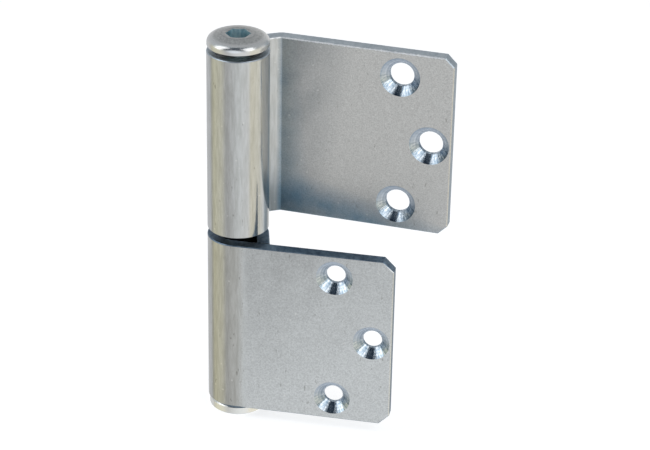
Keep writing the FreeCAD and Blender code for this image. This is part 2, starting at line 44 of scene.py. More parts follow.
# The hinge's own sizes, in metres. Heights are measured from the middle of the lower leaf.
PIN_X = -33.8 * MM
PIN_Y = 6 * MM
PIN = Vector((PIN_X, PIN_Y, 0))
KNUCKLE_RADIUS = 10 * MM
EDGE_BEVEL = 0.3 * MM
PLUG_FOOT = -33.95 * MM

# The height screw, measured from its tip
SCREW_TIP = 72.15 * MM
SCREW_LENGTH = 24 * MM
SCREW_RADIUS = 5 * MM
CUP_RADIUS = 3.6 * MM
CUP_DEPTH = 2.078 * MM
LEAD_IN = 0.6 * MM
THREAD_PITCH = 1.5 * MM
THREAD_DEPTH = 0.92 * MM
THREAD_END = 23.3 * MM
HEAD_RADIUS = 9.9 * MM
HEAD_HEIGHT = 4.4 * MM
RIM_BEVEL = 0.3 * MM
DOME_RADIUS = 26 * MM
SHOULDER_RADIUS = 2 * MM
KEY_SIZE = 7 * MM
KEY_DEPTH = 5 * MM
KEY_TURN = math.radians(11)
KEY_MOUTH_RADIUS = 4.6 * MM
KEY_MOUTH_DEPTH = 1.5 * MM
SCREW_COLUMNS = 144
SHOULDER_STEPS = 12
DOME_STEPS = 10

# The height screw's recesses, where the passivation pools: the walls this near its middle, from
# this far below its head
RECESS_RADIUS = 4.1 * MM
RECESS_DEPTH = 2 * MM

# Burrs. The upper one starts on the web, and turns where the web meets the plate: each of the two
# places is a distance out from the pin and a depth behind it.
WEB_START = (4 * MM, 10.1 * MM)
WEB_END = (9.6 * MM, 14.1 * MM)
UPPER_BURR_DROP = 0.3 * MM
UPPER_BURR_RADIUS = 0.36 * MM
LOWER_BURR_RADIUS = 0.14 * MM
BURR_STEP = 0.35 * MM
BURR_SIDES = 8

# Room left where a face is told by its place, and where points are joined
PICK_ROOM = 0.01 * MM
JOIN_ROOM = 0.0005 * MM

# The marks on the metal, in the sizes that they are drawn. The plating's grain and the cutter's
# rings are finer on the hinge, and drawn as coarse as they need to show.
PLATING_GRAIN = 0.42 * MM
PATCH_CLOUD = 9 * MM
DRAW_MARK = 0.9 * MM
SPECK_SPACING = 4 * MM
SCORE = 0.9 * MM
TORN_STREAK = 0.7 * MM
EDGE_STAIN = 6 * MM
CHATTER_SPOKE = 0.8 * MM
SPOKE_RADIUS = 5 * MM
CUTTER_RING = 0.6 * MM
PEENED_GRAIN = 0.7 * MM
TURNING_RING = 0.35 * MM
PRESS_RING_RADIUS = 5.35 * MM
SOCKET_SMEAR = 0.9 * MM
GRINDING_MARK = 0.3 * MM
BRONZE_PORE = 0.35 * MM

# Where one finish fades into the next: out from the knuckle, inside the edge of the pressed part,
# where a sink's painted light starts above its middle, out from the pin on a turned piece, and beside
# the press's ring
KNUCKLE_FADE = (0.8 * MM, 0.05 * MM)
PRESSED_FADE = 1.4 * MM
LIT_HALF_FADE = (-2 * MM, 1 * MM)
RIM_FADE = (7.4 * MM, 8.4 * MM)
PRESS_RING_FADE = (0.3 * MM, 0.05 * MM)

# The camera, as the photograph was taken. Its angles are in degrees.
LENS_MM = 124.7
SENSOR_MM = 36
CAMERA_PITCH = 27.745
CAMERA_TURN = -10.566
CAMERA_ROLL = 1.113
CAMERA_DISTANCE = 723.149 * MM
CAMERA_TARGET = Vector((-5.249, 6, 36.102)) * MM
CAMERA_NEAR = 10 * MM

# The light tent, as the hinge sees it: azimuths in degrees and colours, the two ends first. The low
# walls are white cloth, with a warm fold on each side and a grey gap at the right. The roof is a
# dark gap between pale sides.
TENT_WALLS = ((-178, "#F4F4F4"), (178, "#F4F4F4"), (-150, "#DADADD"), (-110, "#E0E1E4"),
              (-101, "#C6C4B8"), (-88, "#E9E5CC"), (-50, "#EDEADA"), (-34, "#CFCFCE"),
              (-24, "#D4D4D4"), (16, "#F6F8F9"), (50, "#FFFFFF"), (60, "#FEF8E6"), (92, "#FFFBEE"),
              (119, "#FFFFFF"), (128, "#B0BCC6"), (150, "#9FA7AE"), (160, "#F2F2F2"))
TENT_ROOF = ((-178, "#BCBFC2"), (178, "#BCBFC2"), (-110, "#C4C9CE"), (-80, "#A9B4BE"),
             (-64, "#5A6878"), (-48, "#37434F"), (0, "#313D4A"), (38, "#37434F"), (58, "#5A6878"),
             (110, "#BCC0C4"))
TENT_FLOOR = "#E6EBF2"
# The elevations, in degrees, at which walls start to be roof or floor, and are wholly so
WALLS_TO_ROOF = (-8, 44)
WALLS_TO_FLOOR = (-34, -48)
# The brightest wall is in front of the hinge and a little above it. It is told by its azimuth and
# elevation, and by how far from there it starts and is at its brightest.
BRIGHT_WALL = "#E9F0F8"
BRIGHT_WALL_GAIN = 1.35
BRIGHT_WALL_PLACE = (0, 10)
BRIGHT_WALL_REACH = (32, 14)
LAMP_DISTANCE = 800 * MM
FLOOR_REACH = 3000 * MM


@dataclass
class Leaf:
    """The plate of a leaf: how far it stands open, how deep behind the pin its front is, and its
    other sizes. Each hole is a distance out from the pin and a height from the plate's middle."""

    open_angle: float
    front: float
    foot: float
    height: float
    reach: float
    corner_cut: float
    sink_radius: float
    holes: tuple

    def along(self):
        """The direction from the pin out along the plate."""
        return Vector((math.cos(self.open_angle), -math.sin(self.open_angle), 0))

    def back(self):
        """The direction out of the plate's back."""
        return Vector((math.sin(self.open_angle), math.cos(self.open_angle), 0))

    def place(self, out, depth, height):
        """The point that far out along the plate and that deep behind the pin, at a height."""
        return PIN + self.along() * out + self.back() * depth + Vector((0, 0, height))


@dataclass
class TonePatch:
    """A patch that the sheet's colour shifts toward, which on the upper leaf is painted shade and painted
    reflection: a direction, the distances that way at which it is strongest and has faded out, how
    strong it is at its strongest, and its colour."""

    heading: tuple
    full: float
    faded: float
    strength: float
    colour: str


LOWER = Leaf(open_angle=0, front=-KNUCKLE_RADIUS, foot=-30.35 * MM, height=60.7 * MM, reach=53 * MM,
             corner_cut=3.5 * MM, sink_radius=6 * MM,
             holes=((33.8 * MM, 22.5 * MM), (33.8 * MM, -22.5 * MM), (46.3 * MM, 0)))
UPPER = Leaf(open_angle=math.radians(5.2), front=13.9 * MM, foot=32.85 * MM, height=61.6 * MM,
             reach=66 * MM, corner_cut=3 * MM, sink_radius=6.5 * MM,
             holes=((48.7 * MM, 22.25 * MM), (48.7 * MM, -22.25 * MM), (58.9 * MM, 0)))


def linear(hex_colour):
    """An sRGB hex colour as the linear values that Blender's sockets take."""
    values = [int(hex_colour[at:at + 2], 16) / 255 for at in (1, 3, 5)]
    curved = [value / 12.92 if value <= 0.04045 else ((value + 0.055) / 1.055) ** 2.4 for value in values]
    return (*curved, 1.0)


def add_node(tree, kind, inputs=None, stops=(), **settings):
    """Adds a node with its settings, a ramp's stops and its inputs.

    A ramp's stops are its two ends and then those between. An input is named, or numbered among
    those that the node shows with these settings. It takes a value, another node's output, or a
    node, whose first output shown it then takes.
    """
    node = tree.nodes.new(kind)
    for name, value in settings.items():
        setattr(node, name, value)
    for number, (position, colour) in enumerate(stops):
        elements = node.color_ramp.elements
        stop = elements[number] if number < 2 else elements.new(position)
        stop.position = position
        stop.color = linear(colour)
    shown = [socket for socket in node.inputs if socket.enabled]
    for name, value in (inputs or {}).items():
        socket = shown[name] if isinstance(name, int) else node.inputs[name]
        if isinstance(value, bpy.types.Node):
            value = next(output for output in value.outputs if output.enabled)
        if isinstance(value, bpy.types.NodeSocket):
            tree.links.new(value, socket)
        else:
            socket.default_value = value
    return node


def empty_tree(owner):
    """The node tree of a material or a world, with nothing in it."""
    owner.use_nodes = True
    owner.node_tree.nodes.clear()
    return owner.node_tree


def new_material(name):
    """A material without nodes, its tree, and the piece's own coordinates."""
    material = bpy.data.materials.new(name)
    tree = empty_tree(material)
    return material, tree, add_node(tree, "ShaderNodeTexCoord").outputs["Object"]


def finish_metal(tree, colour, roughness, relief, depth):
    """Ends a material as bare or plated metal, with relief of a depth in metres."""
    bump = add_node(tree, "ShaderNodeBump", {"Height": relief, "Distance": depth})
    shader = add_node(tree, "ShaderNodeBsdfPrincipled",
                      {"Base Color": colour, "Metallic": 1.0, "Roughness": roughness, "Normal": bump})
    add_node(tree, "ShaderNodeOutputMaterial", {"Surface": shader})


def from_pin(tree, place):
    """The distance of a place from the pin's line, in metres."""
    beside = add_node(tree, "ShaderNodeVectorMath", {0: place, 1: PIN}, operation="SUBTRACT")
    level = add_node(tree, "ShaderNodeVectorMath", {0: beside, 1: (1.0, 1.0, 0.0)}, operation="MULTIPLY")
    return add_node(tree, "ShaderNodeVectorMath", {0: level}, operation="LENGTH")


def zinc_sheet(name, clear, rolled, tone_patches, pressed_out):
    """Blue-passivated zinc on rolled steel sheet.

    It looks like a satin grey metal with a fine sparkling grain and pin-prick specks, and bluer or
    duller in its tone patches, which on the upper leaf are painted shade and painted reflection. The
    rolls have pressed the knuckle, and the sheet as far out as pressed_out, smooth, and left draw
    marks and dark pits.
    """
    material, tree, place = new_material(name)
    radius = from_pin(tree, place)
    knuckle = add_node(tree, "ShaderNodeMapRange",
                       {"Value": radius, "From Min": KNUCKLE_RADIUS + KNUCKLE_FADE[0],
                        "From Max": KNUCKLE_RADIUS + KNUCKLE_FADE[1]})
    pressed_part = add_node(tree, "ShaderNodeMapRange",
                            {"Value": radius, "From Min": pressed_out,
                             "From Max": pressed_out - PRESSED_FADE})

    # The patches are cloudy, and the pressed part takes little of them. On the upper leaf they are painted
    # shade and painted reflection.
    clouds = add_node(tree, "ShaderNodeTexNoise",
                      {"Vector": place, "Scale": 1 / PATCH_CLOUD, "Detail": 4.0})
    uneven = add_node(tree, "ShaderNodeMapRange",
                      {"Value": clouds, "From Min": 0.3, "From Max": 0.7, "To Min": 0.5, "To Max": 1.0})
    held = add_node(tree, "ShaderNodeMath", {0: pressed_part, 1: -0.8, 2: 1.0}, operation="MULTIPLY_ADD")
    spread = add_node(tree, "ShaderNodeMath", {0: uneven, 1: held}, operation="MULTIPLY")
    flat_tone = linear(clear)
    for tone_patch in tone_patches:
        way = add_node(tree, "ShaderNodeVectorMath", {0: place, 1: tone_patch.heading}, operation="DOT_PRODUCT")
        filled = add_node(tree, "ShaderNodeMapRange",
                          {"Value": way, "From Min": tone_patch.faded, "From Max": tone_patch.full,
                           "To Max": tone_patch.strength})
        share = add_node(tree, "ShaderNodeMath", {0: filled, 1: spread}, operation="MULTIPLY")
        flat_tone = add_node(tree, "ShaderNodeMix", {0: share, 1: flat_tone, 2: linear(tone_patch.colour)},
                             data_type="RGBA")
    tone = add_node(tree, "ShaderNodeMix", {0: knuckle, 1: flat_tone, 2: linear(rolled)},
                    data_type="RGBA")

    # The plating sparkles, and the pressed part has marks drawn along the knuckle instead
    grain = add_node(tree, "ShaderNodeTexNoise",
                     {"Vector": place, "Scale": 1 / PLATING_GRAIN, "Detail": 2.0, "Roughness": 0.75})
    sparkle = add_node(tree, "ShaderNodeValToRGB", {"Fac": grain}, ((0.36, "#E2E2E2"), (0.64, "#FFFFFF")))
    drawn = add_node(tree, "ShaderNodeMapping", {"Vector": place, "Scale": (1.0, 1.0, 0.12)})
    marks = add_node(tree, "ShaderNodeTexNoise",
                     {"Vector": drawn, "Scale": 1 / DRAW_MARK, "Detail": 4.0, "Roughness": 0.65})
    streaks = add_node(tree, "ShaderNodeValToRGB", {"Fac": marks}, ((0.36, "#E9E9E7"), (0.64, "#FFFFFF")))
    texture = add_node(tree, "ShaderNodeMix", {0: pressed_part, 1: sparkle, 2: streaks}, data_type="RGBA")
    grained = add_node(tree, "ShaderNodeMix", {0: 1.0, 1: tone, 2: texture},
                       data_type="RGBA", blend_type="MULTIPLY")

    # Bright specks, and short upright scores
    crystals = add_node(tree, "ShaderNodeTexVoronoi", {"Vector": place, "Scale": 1 / SPECK_SPACING})
    speck = add_node(tree, "ShaderNodeMapRange",
                     {"Value": crystals, "From Min": 0.1, "From Max": 0.05, "To Max": 0.3})
    specked = add_node(tree, "ShaderNodeMix", {0: speck, 1: grained, 2: linear("#F4F4F0")},
                       data_type="RGBA")
    upright = add_node(tree, "ShaderNodeMapping", {"Vector": place, "Scale": (1.0, 1.0, 0.3)})
    scores = add_node(tree, "ShaderNodeTexNoise", {"Vector": upright, "Scale": 1 / SCORE, "Detail": 2.0})
    pit = add_node(tree, "ShaderNodeMapRange",
                   {"Value": scores, "From Min": 0.69, "From Max": 0.76, "To Max": 0.5})
    pitted = add_node(tree, "ShaderNodeMix", {0: pit, 1: specked, 2: linear("#77766F")}, data_type="RGBA")

    matt = add_node(tree, "ShaderNodeMapRange", {"Value": grain, "To Min": 0.26, "To Max": 0.42})
    pressed = add_node(tree, "ShaderNodeMapRange", {"Value": marks, "To Min": 0.08, "To Max": 0.2})
    roughness = add_node(tree, "ShaderNodeMix", {0: knuckle, 1: matt, 2: pressed})
    rippled = add_node(tree, "ShaderNodeMath", {0: grain, 1: 0.2}, operation="MULTIPLY")
    faint = add_node(tree, "ShaderNodeMath", {0: marks, 1: 1.4, 2: rippled}, operation="MULTIPLY_ADD")
    relief = add_node(tree, "ShaderNodeMix", {0: pressed_part, 1: grain, 2: faint})
    finish_metal(tree, pitted, roughness, relief, depth=0.009 * MM)
    return material


def sheared_zinc(name, dark, light):
    """Zinc plate over a sheared edge.

    It looks slate blue and duller than the sheet, with torn streaks across its thickness and bright
    flecks where the break was rough.
    """
    material, tree, place = new_material(name)
    torn = add_node(tree, "ShaderNodeMapping", {"Vector": place, "Scale": (0.5, 0.3, 0.5)})
    streaks = add_node(tree, "ShaderNodeTexNoise",
                       {"Vector": torn, "Scale": 1 / TORN_STREAK, "Detail": 4.0, "Roughness": 0.7})
    tone = add_node(tree, "ShaderNodeValToRGB", {"Fac": streaks}, ((0.34, dark), (0.66, light)))
    patches = add_node(tree, "ShaderNodeTexNoise",
                       {"Vector": place, "Scale": 1 / EDGE_STAIN, "Detail": 2.0})
    stained = add_node(tree, "ShaderNodeMapRange",
                       {"Value": patches, "From Min": 0.35, "From Max": 0.7, "To Max": 0.3})
    shaded = add_node(tree, "ShaderNodeMix", {0: stained, 1: tone, 2: linear(dark)}, data_type="RGBA")
    roughness = add_node(tree, "ShaderNodeMapRange", {"Value": streaks, "To Min": 0.3, "To Max": 0.5})
    finish_metal(tree, shaded, roughness, streaks, depth=0.02 * MM)
    return material


def zinc_countersink(name, middle, axis, dark, light, roughest):
    """Zinc plate on a drilled countersink.

    It looks brighter and bluer than the sheet, with fine rings left by the cutter and rough spokes
    where it chattered. Its upper half is mixed toward a pale, matt tone, which is painted light.
    """
    material, tree, place = new_material(name)
    facing = axis.to_track_quat("Z", "Y").to_euler()
    local = add_node(tree, "ShaderNodeMapping", {"Vector": place, "Location": middle, "Rotation": facing},
                     vector_type="TEXTURE")
    parts = add_node(tree, "ShaderNodeSeparateXYZ", {0: local}).outputs
    around = add_node(tree, "ShaderNodeMath", {0: parts["Y"], 1: parts["X"]}, operation="ARCTAN2")
    level = add_node(tree, "ShaderNodeVectorMath", {0: local, 1: (1.0, 1.0, 0.0)}, operation="MULTIPLY")
    out = add_node(tree, "ShaderNodeVectorMath", {0: level}, operation="LENGTH")

    # A spoke's place is the way round the sink, and a little of the way out. A ring's is the way
    # out alone.
    rim = add_node(tree, "ShaderNodeMath", {0: around, 1: SPOKE_RADIUS}, operation="MULTIPLY")
    short = add_node(tree, "ShaderNodeMath", {0: out, 1: 0.3}, operation="MULTIPLY")
    spoke_place = add_node(tree, "ShaderNodeCombineXYZ", {"X": rim, "Y": short})
    spokes = add_node(tree, "ShaderNodeTexNoise",
                      {"Vector": spoke_place, "Scale": 1 / CHATTER_SPOKE, "Detail": 4.0, "Roughness": 0.7})
    ring_place = add_node(tree, "ShaderNodeCombineXYZ", {"X": out})
    rings = add_node(tree, "ShaderNodeTexNoise", {"Vector": ring_place, "Scale": 1 / CUTTER_RING})

    torn = add_node(tree, "ShaderNodeValToRGB", {"Fac": spokes}, ((0.4, dark), (0.64, light)))
    ringed = add_node(tree, "ShaderNodeValToRGB", {"Fac": rings}, ((0.4, "#D3DBE1"), (0.6, "#FFFFFF")))
    # Painted light: the sink's upper half is mixed toward a pale colour and made matt
    lit_half = add_node(tree, "ShaderNodeMapRange",
                     {"Value": parts["Y"], "From Min": LIT_HALF_FADE[0], "From Max": LIT_HALF_FADE[1],
                      "To Max": 0.75})
    lit_tone = add_node(tree, "ShaderNodeMix", {0: lit_half, 1: torn, 2: linear("#F0F3F8")}, data_type="RGBA")
    tone = add_node(tree, "ShaderNodeMix", {0: 1.0, 1: lit_tone, 2: ringed},
                    data_type="RGBA", blend_type="MULTIPLY")
    cut = add_node(tree, "ShaderNodeMapRange",
                   {"Value": spokes, "To Min": roughest / 3, "To Max": roughest})
    roughness = add_node(tree, "ShaderNodeMix", {0: lit_half, 1: cut, 2: 0.7})
    relief = add_node(tree, "ShaderNodeMix", {0: 0.35, 1: spokes, 2: rings})
    finish_metal(tree, tone, roughness, relief, depth=0.06 * MM)
    return material


def turned_zinc(name, dark, light, rim_tone):
    """Blue-passivated zinc on a turned and pressed steel piece.

    It looks like a matt grey metal with a fine peened grain, faint rings round its axis, and a
    smoother rim that catches the light. The press left one more ring round the socket.
    """
    material, tree, place = new_material(name)
    radius = from_pin(tree, place)
    grain = add_node(tree, "ShaderNodeTexNoise",
                     {"Vector": place, "Scale": 1 / PEENED_GRAIN, "Detail": 4.0, "Roughness": 0.75})
    tone = add_node(tree, "ShaderNodeValToRGB", {"Fac": grain}, ((0.34, dark), (0.66, light)))
    beside_ring = add_node(tree, "ShaderNodeMath", {0: radius, 1: PRESS_RING_RADIUS}, operation="SUBTRACT")
    off_ring = add_node(tree, "ShaderNodeMath", {0: beside_ring}, operation="ABSOLUTE")
    ring = add_node(tree, "ShaderNodeMapRange",
                    {"Value": off_ring, "From Min": PRESS_RING_FADE[0],
                     "From Max": PRESS_RING_FADE[1], "To Max": 0.4})
    ringed = add_node(tree, "ShaderNodeMix", {0: ring, 1: tone, 2: linear("#8A8E90")}, data_type="RGBA")
    rim = add_node(tree, "ShaderNodeMapRange",
                   {"Value": radius, "From Min": RIM_FADE[0], "From Max": RIM_FADE[1]})
    rimmed = add_node(tree, "ShaderNodeMix", {0: rim, 1: ringed, 2: linear(rim_tone)}, data_type="RGBA")
    roughness = add_node(tree, "ShaderNodeMapRange", {"Value": rim, "To Min": 0.36, "To Max": 0.26})
    height = add_node(tree, "ShaderNodeSeparateXYZ", {0: place}).outputs["Z"]
    turning = add_node(tree, "ShaderNodeCombineXYZ", {"X": radius, "Y": height})
    rings = add_node(tree, "ShaderNodeTexNoise", {"Vector": turning, "Scale": 1 / TURNING_RING})
    relief = add_node(tree, "ShaderNodeMix", {0: 0.3, 1: grain, 2: rings})
    finish_metal(tree, rimmed, roughness, relief, depth=0.015 * MM)
    return material


def deep_passivation(name):
    """Zinc plate in a recess, where the passivation pools. It looks teal blue, in upright smears."""
    material, tree, place = new_material(name)
    upright = add_node(tree, "ShaderNodeMapping", {"Vector": place, "Scale": (1.0, 1.0, 0.4)})
    smears = add_node(tree, "ShaderNodeTexNoise",
                      {"Vector": upright, "Scale": 1 / SOCKET_SMEAR, "Detail": 3.0})
    tone = add_node(tree, "ShaderNodeValToRGB", {"Fac": smears}, ((0.35, "#9CC2CE"), (0.65, "#DCF0F4")))
    finish_metal(tree, tone, 0.5, smears, depth=0.02 * MM)
    return material


def ground_steel(name):
    """Hardened steel, ground. It looks bright, with only faint marks round its axis."""
    material, tree, place = new_material(name)
    level = add_node(tree, "ShaderNodeMapping", {"Vector": place, "Scale": (0.1, 0.1, 1.0)})
    marks = add_node(tree, "ShaderNodeTexNoise", {"Vector": level, "Scale": 1 / GRINDING_MARK})
    tone = add_node(tree, "ShaderNodeValToRGB", {"Fac": marks}, ((0.3, "#B5B7B9"), (0.7, "#CFD0D1")))
    roughness = add_node(tree, "ShaderNodeMapRange", {"Value": marks, "To Min": 0.1, "To Max": 0.24})
    finish_metal(tree, tone, roughness, marks, depth=0.004 * MM)
    return material


def sintered_bronze(name):
    """Bearing bronze, pressed and sintered. It looks dull brown-gold, with open pores."""
    material, tree, place = new_material(name)
    pores = add_node(tree, "ShaderNodeTexNoise",
                     {"Vector": place, "Scale": 1 / BRONZE_PORE, "Detail": 3.0, "Roughness": 0.7})
    tone = add_node(tree, "ShaderNodeValToRGB", {"Fac": pores},
                    ((0.35, "#7A5630"), (0.7, "#BD915C"), (0.5, "#A87C4A")))
    roughness = add_node(tree, "ShaderNodeMapRange", {"Value": pores, "To Min": 0.5, "To Max": 0.34})
    finish_metal(tree, tone, roughness, pores, depth=0.02 * MM)
    return material


def paint(piece, material, wanted=None):
    """Gives a piece its finish, or only those of its faces whose centre and normal are wanted."""
    mesh = piece.data
    if wanted is None:
        mesh.materials.clear()
    mesh.materials.append(material)
    slot = len(mesh.materials) - 1
    for face in mesh.polygons:
        if wanted is None or wanted(face.center, face.normal):
            face.material_index = slot


def finish_leaf(node, leaf, sheet, edge, sink):
    """Paints one leaf's sheet, sheared edges and countersinks. A sink's finish is its dark and light
    colours and its roughest."""
    paint(node, sheet)
    along = leaf.along()
    back = leaf.back()

    def on_edge(centre, normal):
        if abs(normal.z) > 0.5:
            return True
        outer = (centre - PIN).dot(along) > leaf.reach - leaf.corner_cut - PICK_ROOM
        return outer and abs(normal.dot(back)) < 0.3

    paint(node, edge, on_edge)
    for number, (out, height) in enumerate(leaf.holes, start=1):
        middle = leaf.place(out, leaf.front, leaf.foot + leaf.height / 2 + height)

        def in_hole(centre, normal):
            beside = centre - middle
            beside -= back * beside.dot(back)
            return beside.length < leaf.sink_radius - PICK_ROOM and abs(normal.dot(back)) < 0.9

        cut = zinc_countersink(f"zinc_countersink_{node.name}_{number}", middle, -back, *sink)
        paint(node, cut, in_hole)


def mesh_through(name, rows, sharp_degrees):
    """A piece whose mesh runs through rows of points. Points in one place are joined."""
    shape = bmesh.new()
    made = [[shape.verts.new(point) for point in row] for row in rows]
    for below, above in zip(made, made[1:]):
        for at in range(len(below) - 1):
            shape.faces.new((below[at], below[at + 1], above[at + 1], above[at]))
    bmesh.ops.remove_doubles(shape, verts=shape.verts, dist=JOIN_ROOM)
    bmesh.ops.recalc_face_normals(shape, faces=shape.faces)
    mesh = bpy.data.meshes.new(name)
    shape.to_mesh(mesh)
    shape.free()
    mesh.polygons.foreach_set("use_smooth", [True] * len(mesh.polygons))
    mesh.set_sharp_from_angle(angle=math.radians(sharp_degrees))
    piece = bpy.data.objects.new(name, mesh)
    bpy.context.scene.collection.objects.link(piece)
    return piece


def threaded_screw():
    """The height screw with its thread cut, its domed head and its hexagon socket."""
    turns = [KEY_TURN + math.tau * at / SCREW_COLUMNS for at in range(SCREW_COLUMNS + 1)]
    crown = SCREW_LENGTH + HEAD_HEIGHT
    dome_centre = crown - DOME_RADIUS
    shoulder_end = math.acos((HEAD_RADIUS - SHOULDER_RADIUS) / (DOME_RADIUS - SHOULDER_RADIUS))
    shoulder_height = dome_centre + (DOME_RADIUS - SHOULDER_RADIUS) * math.sin(shoulder_end)
    mouth_angle = math.acos(KEY_MOUTH_RADIUS / DOME_RADIUS)
    mouth_height = dome_centre + DOME_RADIUS * math.sin(mouth_angle)
    mouth_slope = (mouth_height - crown + KEY_MOUTH_DEPTH) / KEY_MOUTH_RADIUS
    root = SCREW_RADIUS - THREAD_DEPTH

    def point(turn, radius, up):
        return Vector((PIN_X + radius * math.cos(turn), PIN_Y + radius * math.sin(turn), SCREW_TIP + up))

    def ring(radius, up):
        return [point(turn, radius, up) for turn in turns]

    rows = [ring(0, CUP_DEPTH), ring(CUP_RADIUS, 0), ring(root, 0)]
    # A 60 degree thread: its crest is an eighth of the pitch wide, its root a quarter
    form = ((0, SCREW_RADIUS), (0.125, SCREW_RADIUS), (0.4375, root), (0.6875, root))
    for coil in range(-1, math.ceil(THREAD_END / THREAD_PITCH) + 1):
        for phase, radius in form:
            row = []
            for number, turn in enumerate(turns):
                up = THREAD_PITCH * (coil + phase + number / SCREW_COLUMNS)
                up = min(max(up, 0), THREAD_END)
                row.append(point(turn, min(radius, SCREW_RADIUS - LEAD_IN + up), up))
            rows.append(row)
    rows += [ring(root, THREAD_END), ring(root, SCREW_LENGTH),
             ring(HEAD_RADIUS - RIM_BEVEL, SCREW_LENGTH), ring(HEAD_RADIUS, SCREW_LENGTH + RIM_BEVEL)]
    for step in range(SHOULDER_STEPS + 1):
        angle = shoulder_end * step / SHOULDER_STEPS
        rows.append(ring(HEAD_RADIUS - SHOULDER_RADIUS * (1 - math.cos(angle)),
                         shoulder_height + SHOULDER_RADIUS * math.sin(angle)))
    for step in range(1, DOME_STEPS + 1):
        angle = shoulder_end + (mouth_angle - shoulder_end) * step / DOME_STEPS
        rows.append(ring(DOME_RADIUS * math.cos(angle), dome_centre + DOME_RADIUS * math.sin(angle)))
    # The socket's mouth is a cone that its six sides cut
    sixth = math.radians(60)
    key_radii = [KEY_SIZE / 2 / math.cos((turn - KEY_TURN) % sixth - sixth / 2) for turn in turns]
    rows.append([point(turn, radius, mouth_height - mouth_slope * (KEY_MOUTH_RADIUS - radius))
                 for turn, radius in zip(turns, key_radii)])
    rows.append([point(turn, radius, crown - KEY_DEPTH) for turn, radius in zip(turns, key_radii)])
    rows.append(ring(0, crown - KEY_DEPTH))
    return mesh_through("height_screw_threaded", rows, sharp_degrees=28)


def in_recess(centre, normal):
    """The walls of the hexagon socket, and of the neck between the head and the thread."""
    beside = math.hypot(centre.x - PIN_X, centre.y - PIN_Y)
    high = centre.z > SCREW_TIP + SCREW_LENGTH - RECESS_DEPTH
    return beside < RECESS_RADIUS and high and abs(normal.z) < 0.5


def torn_ridge(name, corners, radius, seed):
    """The burr that the shear left along an edge: a fine ridge that thickens and thins at random."""
    chance = random.Random(seed)
    centres = []
    for start, end in zip(corners, corners[1:]):
        pieces = max(1, round((end - start).length / BURR_STEP))
        centres += [start.lerp(end, at / pieces) for at in range(pieces)]
    centres.append(corners[-1])
    upward = Vector((0, 0, 1))
    turns = [math.tau * at / BURR_SIDES for at in range(BURR_SIDES + 1)]
    rows = []
    for number, centre in enumerate(centres):
        before = centres[max(number - 1, 0)]
        after = centres[min(number + 1, len(centres) - 1)]
        across = (after - before).cross(upward).normalized()
        thick = 0 if number in (0, len(centres) - 1) else radius * chance.uniform(0.6, 1)
        rows.append([centre + (across * math.cos(turn) + upward * math.sin(turn)) * thick for turn in turns])
    return mesh_through(name, rows, sharp_degrees=60)


def pale_floor():
    """A plain pale floor that renders white to the camera and still takes the hinge's shadow. The
    metal sees the light tent through it."""
    mesh = bpy.data.meshes.new("floor")
    shape = bmesh.new()
    bmesh.ops.create_grid(shape, x_segments=2, y_segments=2, size=FLOOR_REACH)
    shape.to_mesh(mesh)
    shape.free()
    floor = bpy.data.objects.new("floor", mesh)
    floor.location = (0, 0, PLUG_FOOT)
    bpy.context.scene.collection.objects.link(floor)

    material = bpy.data.materials.new("pale_floor")
    tree = empty_tree(material)
    matt = add_node(tree, "ShaderNodeBsdfDiffuse", {"Color": linear("#C8C8C8")})
    glow = add_node(tree, "ShaderNodeEmission", {"Color": linear("#FFFFFF"), "Strength": 0.7})
    both = add_node(tree, "ShaderNodeAddShader", {0: matt, 1: glow})
    clear = add_node(tree, "ShaderNodeBsdfTransparent")
    ray = add_node(tree, "ShaderNodeLightPath").outputs
    seen = add_node(tree, "ShaderNodeMixShader", {0: ray["Is Camera Ray"], 1: matt, 2: both})
    mirrored = add_node(tree, "ShaderNodeMixShader", {0: ray["Is Glossy Ray"], 1: seen, 2: clear})
    add_node(tree, "ShaderNodeOutputMaterial", {"Surface": mirrored})
    mesh.materials.append(material)


def toward(azimuth, elevation):
    """The direction at an azimuth and an elevation, in degrees. Azimuth 0 is in front of the lower
    leaf, and 90 to its right."""
    turn, rise = math.radians(azimuth), math.radians(elevation)
    return Vector((math.sin(turn) * math.cos(rise), -math.cos(turn) * math.cos(rise), math.sin(rise)))


